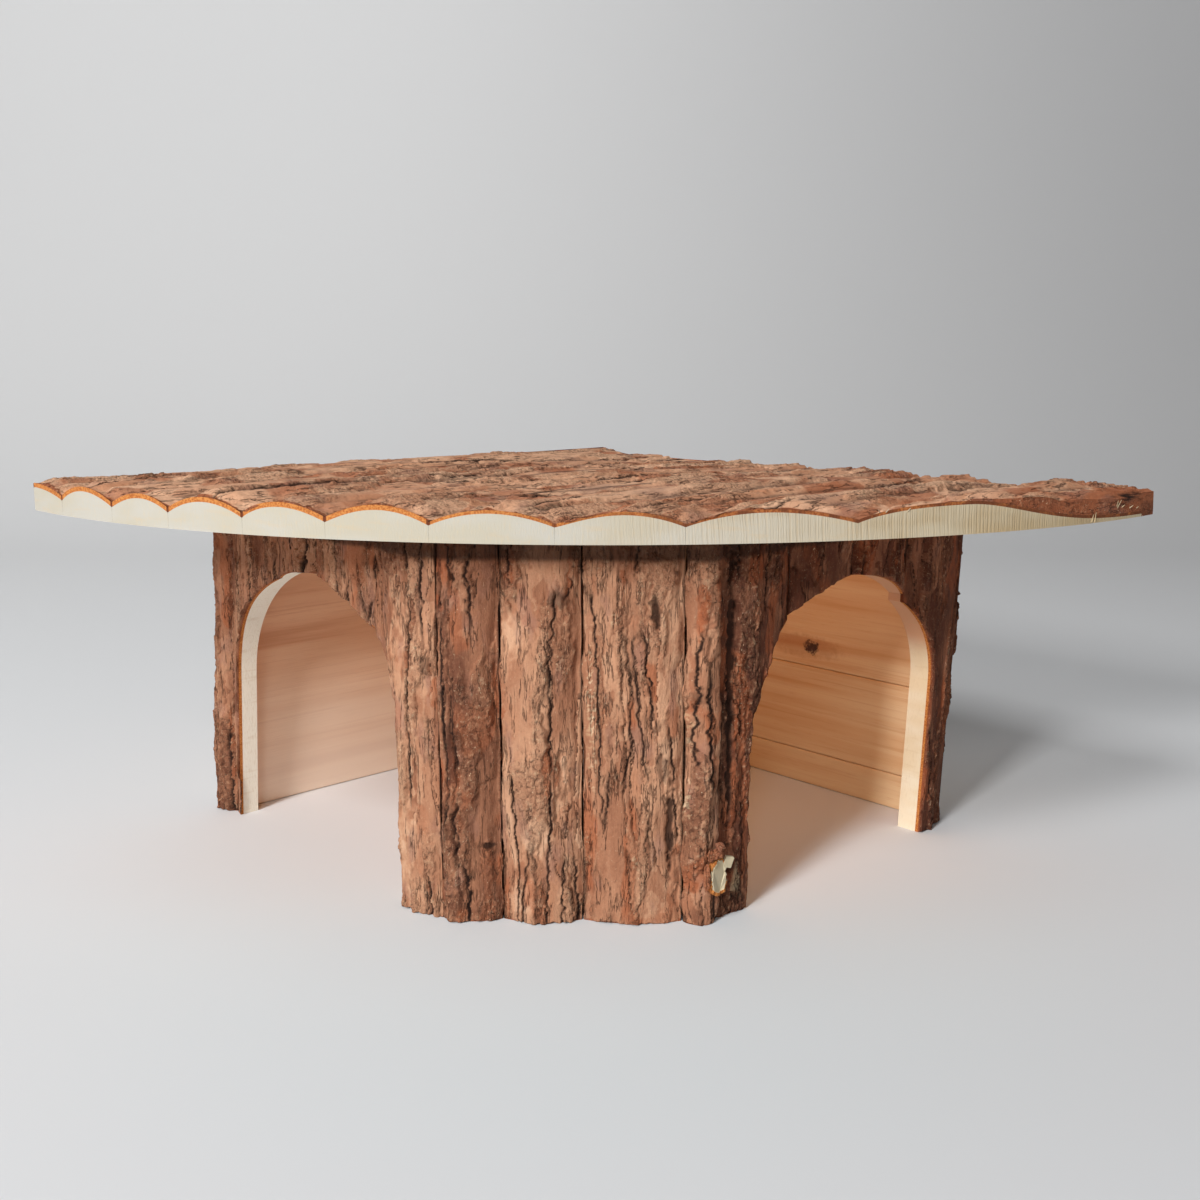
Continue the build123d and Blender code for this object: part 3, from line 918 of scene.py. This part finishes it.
def dress_slab(slab, grid, skin, shares, faces):
    """Give a wrapped slab its materials, and its bark its shades, with painted shade on its sides in the seams."""
    mesh, look, (outer_rim, inner_rim, wood_rim) = grid.piece.data, slab.look, faces
    kinds = np.full(len(mesh.polygons), BARK)
    kinds[inner_rim:] = INNER_BARK
    kinds[wood_rim:] = SAPWOOD
    middles = np.array([shares[list(face.vertices)].mean() for face in mesh.polygons[outer_rim:-1]])
    covered = (middles < AT_SIDE) & (0 not in slab.bare) | (middles > 1 - AT_SIDE) & (1 not in slab.bare)
    kinds[outer_rim:-1][covered] = BARK
    kinds[-1] = INNER_WOOD
    for name in (slab.bark, "inner_bark", "sapwood", "inner_wood"):
        mesh.materials.append(material(name))
    mesh.polygons.foreach_set("material_index", kinds)
    mesh.polygons.foreach_set("use_smooth", np.arange(len(kinds)) < outer_rim)
    shades = np.tile(RIM_SHADE, (len(shares), 1))
    # The slabs' covered sides keep their bark's tone and red but are painted dark: partly the bark's own colour, partly
    # painted shade of the narrow seams between slabs
    shades[(shares < AT_SIDE) | (shares > 1 - AT_SIDE)] = 0.7, look.tone, look.red, 0.0
    if slab.wrap:
        shades[shares > 1 - AT_SIDE] = TIP_SHADE
    shades[: len(skin.shades)] = skin.shades
    crumbly = np.ones(len(shares))
    crumbly[: len(skin.rough)] = skin.rough
    paint(mesh, shades, crumbly)
    mesh.update()


def model_slab(context, slab):
    """Model one bark-on slab in the place of its node."""
    grid = slab_grid(context, slab)
    skin = bark_skin(slab, context.scene.hide_bark, grid)
    dress_slab(slab, grid, skin, *wrap_slab(slab, grid, skin))
    piece, node = grid.piece, slab.node
    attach(piece, "root")
    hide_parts(node)
    return piece


def rounded(edges, crown, peak=0.5):
    """Height of a slab's bark over its flat side: from one edge over the crown to the other."""
    power = math.log(0.5) / math.log(peak)

    def height(share):
        moved = np.clip(share, 0, 1) ** power
        base = edges[0] + (edges[1] - edges[0]) * share
        return base + (crown - base) * 4 * moved * (1 - moved)

    return height


def low_corner(node):
    """The least x, y and z of a node of the frame, in millimetres."""
    return np.array(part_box(node)[0]) / MM


def high_corner(node):
    """The greatest x, y and z of a node of the frame, in millimetres."""
    return np.array(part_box(node)[1]) / MM


def wall_frame():
    """Where the walls stand, in millimetres."""
    left_board, right_board = "left_back_board", "right_back_board_upper"
    return {
        "back": (low_corner(left_board)[0], high_corner(right_board)[1]),
        "inner_y": low_corner(left_board)[1],
        "inner_x": high_corner(right_board)[0],
        "left_corner": low_corner("pillar_slab_1")[0],
        "right_corner": high_corner("pillar_slab_4")[1],
        "height": high_corner(left_board)[2],
    }


def askew(height):
    """What share of its foot's shift a leg still has at a height in millimetres."""
    return 1 - height / ASKEW_HEIGHT


class HIDE_OT_roof(bpy.types.Operator):
    """Model the ten bark-on slabs of the roof"""

    bl_idname = "hide.roof"
    bl_label = "Roof slabs"

    def execute(self, context):
        back = low_corner("roof_slab_01")[0], high_corner("roof_slab_10")[1]
        side = high_corner("roof_slab_10")[0] - back[0]
        under = low_corner("roof_slab_01")[2]
        run = Run(np.array([*back, under]), X, Y, Z)

        def ends(across):
            return -np.sqrt(np.maximum(side**2 - across**2, 0)), across * 0

        for number, (peak, grooves, look) in enumerate(zip(ROOF_PEAKS, ROOF_GROOVES, ROOF_LOOKS), 1):
            node = f"roof_slab_{number:02d}"
            low, high = low_corner(node), high_corner(node)
            first, last = number == 1, number == len(ROOF_LOOKS)
            edges = ROOF_TIP if first else ROOF_SIDE, ROOF_TIP if last else ROOF_SIDE
            sides = low[0] - back[0], high[0] - back[0]
            slab = Slab(
                node, run, (sides[0], min(sides[1], side - TIP_SHORT)), ends, rounded(edges, high[2] - under, peak),
                context.scene.hide_bark.roof_cell / MM, look, "roof_bark", wide=1.4, stretch=1.5,
                bare=(0,) if first else (), grooves=grooves, wrap=7.5 if last else 0.0, settle=0.8, seams=sides,
                inner=ROOF_INNER[number > 6],
            )
            piece = model_slab(context, slab)
        return {"FINISHED"}


class HIDE_OT_walls(bpy.types.Operator):
    """Model the bark-on slabs of the two doorway panels and of the pillar between them"""

    bl_idname = "hide.walls"
    bl_label = "Wall slabs"

    def execute(self, context):
        frame, doors = wall_frame(), context.scene.hide_doors
        diagonal = math.sqrt(0.5)
        mitre = math.tan(math.radians(22.5))
        back_x, back_y = frame["back"]
        left_length = frame["left_corner"] - back_x
        right_length = back_y - frame["right_corner"]
        pillar_length = (frame["inner_x"] - frame["left_corner"]) / diagonal
        leg, width = doors.leg / MM, doors.width / MM
        left = Wall(
            "left_slab", LEFT_LOOKS, left_length, (0, mitre), (leg, leg + width, leg + width / 2),
            lambda s, t: -LEFT_FOOT * (1 - ramp(25, 115, s)) * askew(t),
            Run(np.array([back_x, frame["inner_y"], 0]), X, Z, -Y),
            lambda node: low_corner(node)[0] - back_x,
        )
        pillar = Wall(
            "pillar_slab", PILLAR_LOOKS, pillar_length, (mitre, mitre), door=None, rack=None,
            run=Run(
                np.array([frame["left_corner"], frame["inner_y"], 0]), (X + Y) * diagonal, Z, (X - Y) * diagonal
            ),
            starts=lambda node: (low_corner(node)[0] - frame["left_corner"]) / diagonal,
        )
        right = Wall(
            "right_slab", RIGHT_LOOKS, right_length, (mitre, 0),
            (right_length - leg - width, right_length - leg, right_length - leg - width / 2),
            lambda s, t: -RIGHT_FOOT * ramp(40, 130, s) * askew(t),
            Run(np.array([frame["inner_x"], frame["right_corner"], 0]), Y, Z, X),
            lambda node: low_corner(node)[1] - frame["right_corner"],
        )
        for wall in (left, pillar, right):
            door, count = wall.door, len(wall.looks)
            nodes = [f"{wall.name}_{number}" for number in range(1, count + 1)]
            stops = [0, *[wall.starts(node) for node in nodes[1:]], wall.length]
            if wall is pillar:
                stops[3] += PILLAR_OVERLAP
            for place, (node, look) in enumerate(zip(nodes, wall.looks)):
                span = stops[place], stops[place + 1]
                lean = wall.leans[0] if place == 0 else 0, wall.leans[1] if place == count - 1 else 0
                meets = door is not None and span[1] > door[0] and span[0] < door[1]
                over = meets and span[0] >= door[0] and span[1] <= door[1]

                def ends(across, over=over, door=door, notch=look.notch):
                    foot = arch(doors, door[2], across, notch) if over else across * 0
                    return foot, across * 0 + frame["height"]

                # The walls' bark is painted darker just under the roof, as painted shade of the roof
                slab = Slab(
                    node, wall.run, span, ends, rounded((WALL_SIDE, WALL_SIDE), WALL_CROWN),
                    context.scene.hide_bark.wall_cell / MM, look, "wall_bark", lean, door if meets else None, wall.rack,
                    bare=[which for which in (0, 1) if meets and door[0] < span[which] < door[1]],
                    seams=stops[1:-1], grime=0.68,
                )
                piece = model_slab(context, slab)
        return {"FINISHED"}


def finish_detail(piece, materials, node):
    """Give a small piece its materials, an even bark shade and its place in the frame."""
    for name in materials:
        piece.data.materials.append(material(name))
    count = len(piece.data.vertices)
    paint(piece.data, np.tile(TORN_SHADE, count), np.ones(count))
    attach(piece, "root")
    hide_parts(node)


class HIDE_OT_stub(bpy.types.Operator):
    """Model the sawn branch stub on the right panel, with the torn bark and the splinter beside it"""

    bl_idname = "hide.stub"
    bl_label = "Branch stub"

    # The torn lumps of bark: their places out, aside and up from the stub's end, and half sizes on the same axes
    lumps = (
        (-0.6, -1.0, 8.6, 1.9, 2.6, 1.7), (-1.0, 0.8, 10.6, 1.6, 1.7, 1.3), (-1.9, -4.9, 0.5, 1.5, 0.8, 4.6),
        (-1.6, -3.2, 8.0, 1.5, 1.2, 2.0),
    )

    def execute(self, context):
        node = "right_slab_1"
        end = np.array([high_corner(node)[0] - 1.0, wall_frame()["right_corner"] - 0.6, STUB_MIDDLE])
        stub = add(
            context, "branch_stub", bpy.ops.mesh.primitive_cylinder_add, vertices=56, radius=1,
            depth=STUB_LENGTH * MM, rotation=(0, math.pi / 2, 0), end_fill_type="NGON",
        )
        apply_place()
        pick(stub, "FACE", [face.normal.x > 0.9 for face in stub.data.polygons])
        bpy.ops.mesh.inset(thickness=0.12, depth=0)
        bpy.ops.mesh.inset(thickness=0.06, depth=0)
        bpy.ops.object.mode_set(mode="OBJECT")
        points = corners(stub)
        turn = np.arctan2(points[:, 2], points[:, 1])
        reach = np.hypot(points[:, 1], points[:, 2])
        outer = points[:, 0] > 0
        # Round, with a dent at its right, and wider where it grows out of the slab
        bean = 1 - 0.30 * np.exp(-((turn - 0.15) / 0.55) ** 2) + 0.12 * (noise(turn * 2.2 + 9, turn * 0, 71) - 0.5)
        reach = reach * bean * np.where(outer, 1.0, 1.25)
        ring = reach > 0.8 * bean
        ragged = layers(turn * 6 + 20, turn * 0, 72, 3) - 0.5
        points[:, 0] = end[0] - np.where(outer, 0.0, STUB_LENGTH) + np.where(ring & outer, 1.4 * ragged - 0.5, 0)
        points[:, 1] = end[1] + STUB_WIDE * reach * np.cos(turn) + np.where(outer, 0, 4.0)
        points[:, 2] = end[2] + STUB_TALL * reach * np.sin(turn) - 0.8 * np.cos(turn) ** 2
        move(stub, points * MM)
        for face in stub.data.polygons:
            middle = face.center / MM
            away = math.hypot((middle.y - end[1]) / STUB_WIDE, (middle.z - end[2]) / STUB_TALL)
            sawn = len(face.vertices) > 8 or (middle.x > end[0] - 1.2 and away < 0.86)
            face.material_index = 0 if sawn else 1
        finish_detail(stub, ("sapwood", "inner_bark"), node)
        for number, (out, aside, rise, deep, wide, tall) in enumerate(self.lumps, 1):
            lump = add(
                context, f"stub_crust_{number}", bpy.ops.mesh.primitive_ico_sphere_add, subdivisions=5, radius=1
            )
            ball = corners(lump)
            around = np.arctan2(ball[:, 1], ball[:, 0]) * 2.2 + 10 * number
            swell = 1 + 0.9 * (layers(around, ball[:, 2] * 3, 80 + number, 4) - 0.5)
            ball = ball * swell[:, None] * np.array([deep, wide, tall]) + end + np.array([out, aside, rise])
            move(lump, ball * MM)
            finish_detail(lump, ("wall_bark",), node)
        splinter = add(context, "stub_splinter", bpy.ops.mesh.primitive_cube_add, size=1)
        splinter.scale = (1.5 * MM, 3.4 * MM, 4.2 * MM)
        splinter.rotation_euler = (math.radians(-16), math.radians(6), math.radians(-25))
        splinter.location = (end + np.array([-0.4, 4.2, 4.4])) * MM
        apply_place()
        bevel(splinter, "worn edges", 0.3 * MM)
        finish_detail(splinter, ("sapwood",), node)
        return {"FINISHED"}


class HIDE_OT_fibres(bpy.types.Operator):
    """Model the frayed fibres that stand out of the bark at the roof's right tip"""

    bl_idname = "hide.fibres"
    bl_label = "Frayed fibres"

    # The turn round the roof's rim in degrees, height over its underside, length and two leans of each fibre
    fibres = (
        (84.9, 3.4, 4.0, 20, -14), (84.7, 3.2, 4.6, 24, 24), (85.4, 3.6, 2.2, 50, 4), (86.5, 3.0, 2.2, 46, -18),
        (87.4, 2.6, 2.0, 52, 30), (82.2, 0.2, 3.6, 6, 2), (81.9, 0.4, 2.8, 10, -4), (65.9, 7.8, 2.4, 40, -30),
        (63.9, 7.6, 2.8, 30, 40), (64.4, 7.9, 2.2, 46, -16),
    )

    def execute(self, context):
        node = "roof_slab_10"
        back = low_corner("roof_slab_01")[0], high_corner(node)[1]
        side, under = high_corner(node)[0] - back[0], low_corner(node)[2]
        for turn, rise, long, lean, roll in self.fibres:
            angle = math.radians(turn)
            add(
                context, "frayed_fibre", bpy.ops.mesh.primitive_cone_add,
                vertices=7, radius1=0.26 * MM, radius2=0.08 * MM, depth=long * MM,
                rotation=(math.radians(lean) * math.cos(angle) + math.radians(roll), math.radians(lean), 0),
                location=(
                    (back[0] + (side + 0.2) * math.sin(angle)) * MM, (back[1] - (side + 0.2) * math.cos(angle)) * MM,
                    (under + rise + long / 2) * MM,
                ),
            )
        bpy.ops.object.select_pattern(pattern="frayed_fibre*", extend=False)
        bpy.ops.object.join()
        piece = context.object
        piece.name = piece.data.name = "frayed_fibres"
        apply_place()
        finish_detail(piece, ("sapwood",), node)
        return {"FINISHED"}


class HIDE_OT_boards(bpy.types.Operator):
    """Model the planed boards of the two back walls"""

    bl_idname = "hide.boards"
    bl_label = "Back boards"

    def execute(self, context):
        boards = {
            "left_back_board": "left_pine",
            "right_back_board_lower": "right_pine",
            "right_back_board_middle": "right_pine",
            "right_back_board_upper": "right_pine",
        }
        for node, wood in boards.items():
            low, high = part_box(node)
            piece = add(
                context, f"{node}_pine", bpy.ops.mesh.primitive_cube_add, size=1, location=(low + high) / 2
            )
            piece.scale = high - low - Vector((0, 0, 0.2 * MM))
            apply_place()
            bevel(piece, "eased edges", 0.7 * MM)
            points = corners(piece)
            shift = -BOARD_FOOT * MM * askew(points[:, 2] / MM)
            if wood == "left_pine":
                points[:, 0] += shift
                points[:, 1] += np.where(points[:, 1] > 0, shift, 0)
            else:
                points[:, 1] += shift
            move(piece, points)
            piece.data.materials.append(material(wood))
            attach(piece, "root")
            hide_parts(node)
        return {"FINISHED"}


class HIDE_OT_brads(bpy.types.Operator):
    """Give the brads their steel, and stand the legs' brads askew with the legs"""

    bl_idname = "hide.brads"
    bl_label = "Brads"

    def execute(self, context):
        for node in ("roof_brads", "corner_brads"):
            mesh = bpy.data.objects[node].data
            mesh.materials.clear()
            mesh.materials.append(material("brad_steel"))
        source = bpy.data.objects["leg_brads"]
        spots = np.array([source.matrix_world @ vertex.co for vertex in source.data.vertices]) / MM
        # Each leg's own axis that its brads lie along, their turn and how far its foot stands askew
        legs = (
            (1, (math.pi / 2, 0, 0), np.array([-BOARD_FOOT, 0, 0])),
            (0, (0, math.pi / 2, 0), np.array([0, -RIGHT_BRAD_FOOT, 0])),
        )
        for right, (axis, turn, foot) in enumerate(legs):
            group = spots[(spots[:, 0] > 0) == right]
            group = group[np.argsort(group[:, 2])]
            for brad in np.split(group, np.flatnonzero(np.diff(group[:, 2]) > 2) + 1):
                low, high = brad.min(axis=0), brad.max(axis=0)
                middle = (low + high) / 2
                add(
                    context, "leg_brad", bpy.ops.mesh.primitive_cylinder_add, vertices=24,
                    radius=(high[2] - low[2]) / 2 * MM, depth=(high[axis] - low[axis]) * MM, rotation=turn,
                    location=(middle + foot * askew(middle[2])) * MM,
                )
        bpy.ops.object.select_pattern(pattern="leg_brad", extend=False)
        bpy.ops.object.select_pattern(pattern="leg_brad.*", extend=True)
        bpy.ops.object.join()
        piece = context.object
        piece.name = piece.data.name = "leg_brads_steel"
        apply_place()
        bevel(piece, "blunt ends", 0.2 * MM)
        piece.data.materials.append(material("brad_steel"))
        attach(piece, "root")
        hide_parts("leg_brads")
        return {"FINISHED"}


class HIDE_OT_stage(bpy.types.Operator):
    """Set up the floor, the lights and the camera"""

    bl_idname = "hide.stage"
    bl_label = "Stage"

    # In metres: the sweep's side, how far it is drawn to the front, its height and the radius of its bend
    sweep_side, sweep_front, sweep_height, sweep_bend = 8, 2.2, 4, 1.0

    def execute(self, context):
        stage = context.scene.hide_stage
        floor = add(context, "studio_sweep", bpy.ops.mesh.primitive_plane_add, size=self.sweep_side)
        points = corners(floor)
        far = points[:, 1] > self.sweep_side / 2 - 0.1
        points[:, 1] -= self.sweep_front
        move(floor, points)
        pick(floor, "EDGE", [all(far[vertex] for vertex in edge.vertices) for edge in floor.data.edges])
        bpy.ops.mesh.extrude_region_move(TRANSFORM_OT_translate={"value": (0, 0, self.sweep_height)})
        bpy.ops.object.mode_set(mode="OBJECT")
        bevel(floor, "sweep", self.sweep_bend, 32)
        bpy.ops.object.shade_smooth()
        floor.rotation_euler = (0, 0, stage.camera_turn[2])
        apply_place()
        floor.data.materials.append(material("studio_paper"))

        def toward(turn, rise, away):
            """The place that lies away from the middle at a turn from the left doorway and a rise, in degrees."""
            turn, rise = math.radians(turn), math.radians(rise)
            flat = math.cos(rise) * away
            return math.sin(turn) * flat, -math.cos(turn) * flat, math.sin(rise) * away

        middle = (0, 0, 0.07)
        # Each light's name, place, aim, power, side and colour
        lights = (
            ("main_key", toward(14, 25, 3.0), middle, stage.key_power, 0.42, (1, 1, 1)),
            ("high_key", toward(15, 45, 3.2), middle, stage.high_power, 0.7, (1, 1, 1)),
            ("fill_light", toward(43, 34, 3.0), middle, stage.fill_power, 0.45, (1, 1, 1)),
            ("top_light", (-0.3, -0.2, 2.0), middle, stage.top_power, 1.0, (1, 1, 1)),
            ("inner_glow", (0.0, 0.05, 0.126), (0.0, 0.05, 0), stage.glow_power, 0.12, (1.0, 0.52, 0.23)),
        )
        for name, place, aim, energy, size, color in lights:
            light = add(context, name, bpy.ops.object.light_add, type="AREA", location=place)
            light.rotation_euler = (Vector(aim) - Vector(place)).to_track_quat("-Z", "Y").to_euler()
            light.data.energy, light.data.size, light.data.color = energy, size, color
        world = bpy.data.worlds.new("studio")
        world.use_nodes = True
        background = world.node_tree.nodes["Background"]
        background.inputs["Color"].default_value = (1, 1, 1, 1)
        background.inputs["Strength"].default_value = stage.sky
        context.scene.world = world
        camera = add(
            context, "photo_camera", bpy.ops.object.camera_add, location=stage.camera_place, rotation=stage.camera_turn
        )
        camera.data.lens, camera.data.sensor_width = stage.lens, 36
        camera.data.clip_start = 0.01
        context.scene.camera = camera
        context.scene.view_settings.view_transform = "Standard"
        return {"FINISHED"}


class HIDE_PT_panel(bpy.types.Panel):
    """Buttons for each part of the hide, and its settings"""

    bl_label = "Bark corner hide"
    bl_idname = "HIDE_PT_panel"
    bl_space_type = "VIEW_3D"
    bl_region_type = "UI"
    bl_category = "Hide"

    def draw(self, context):
        for operator in PIECES:
            self.layout.operator(operator.bl_idname)
        for group in (context.scene.hide_bark, context.scene.hide_doors, context.scene.hide_stage):
            box = self.layout.box()
            for name in group.__annotations__:
                box.prop(group, name)


GROUPS = {"hide_bark": HideBark, "hide_doors": HideDoors, "hide_stage": HideStage}
PIECES = (
    HIDE_OT_roof, HIDE_OT_walls, HIDE_OT_stub, HIDE_OT_fibres, HIDE_OT_boards, HIDE_OT_brads, HIDE_OT_stage,
)


def register():
    for kind in (*GROUPS.values(), *PIECES, HIDE_PT_panel):
        bpy.utils.register_class(kind)
    for name, group in GROUPS.items():
        setattr(bpy.types.Scene, name, bpy.props.PointerProperty(type=group))


def unregister():
    for name in GROUPS:
        delattr(bpy.types.Scene, name)
    for kind in (HIDE_PT_panel, *reversed(PIECES), *reversed(GROUPS.values())):
        bpy.utils.unregister_class(kind)


def main():
    register()
    bpy.ops.hide.roof()
    bpy.ops.hide.walls()
    bpy.ops.hide.stub()
    bpy.ops.hide.fibres()
    bpy.ops.hide.boards()
    bpy.ops.hide.brads()
    bpy.ops.hide.stage()


if __name__ == "__main__":
    main()
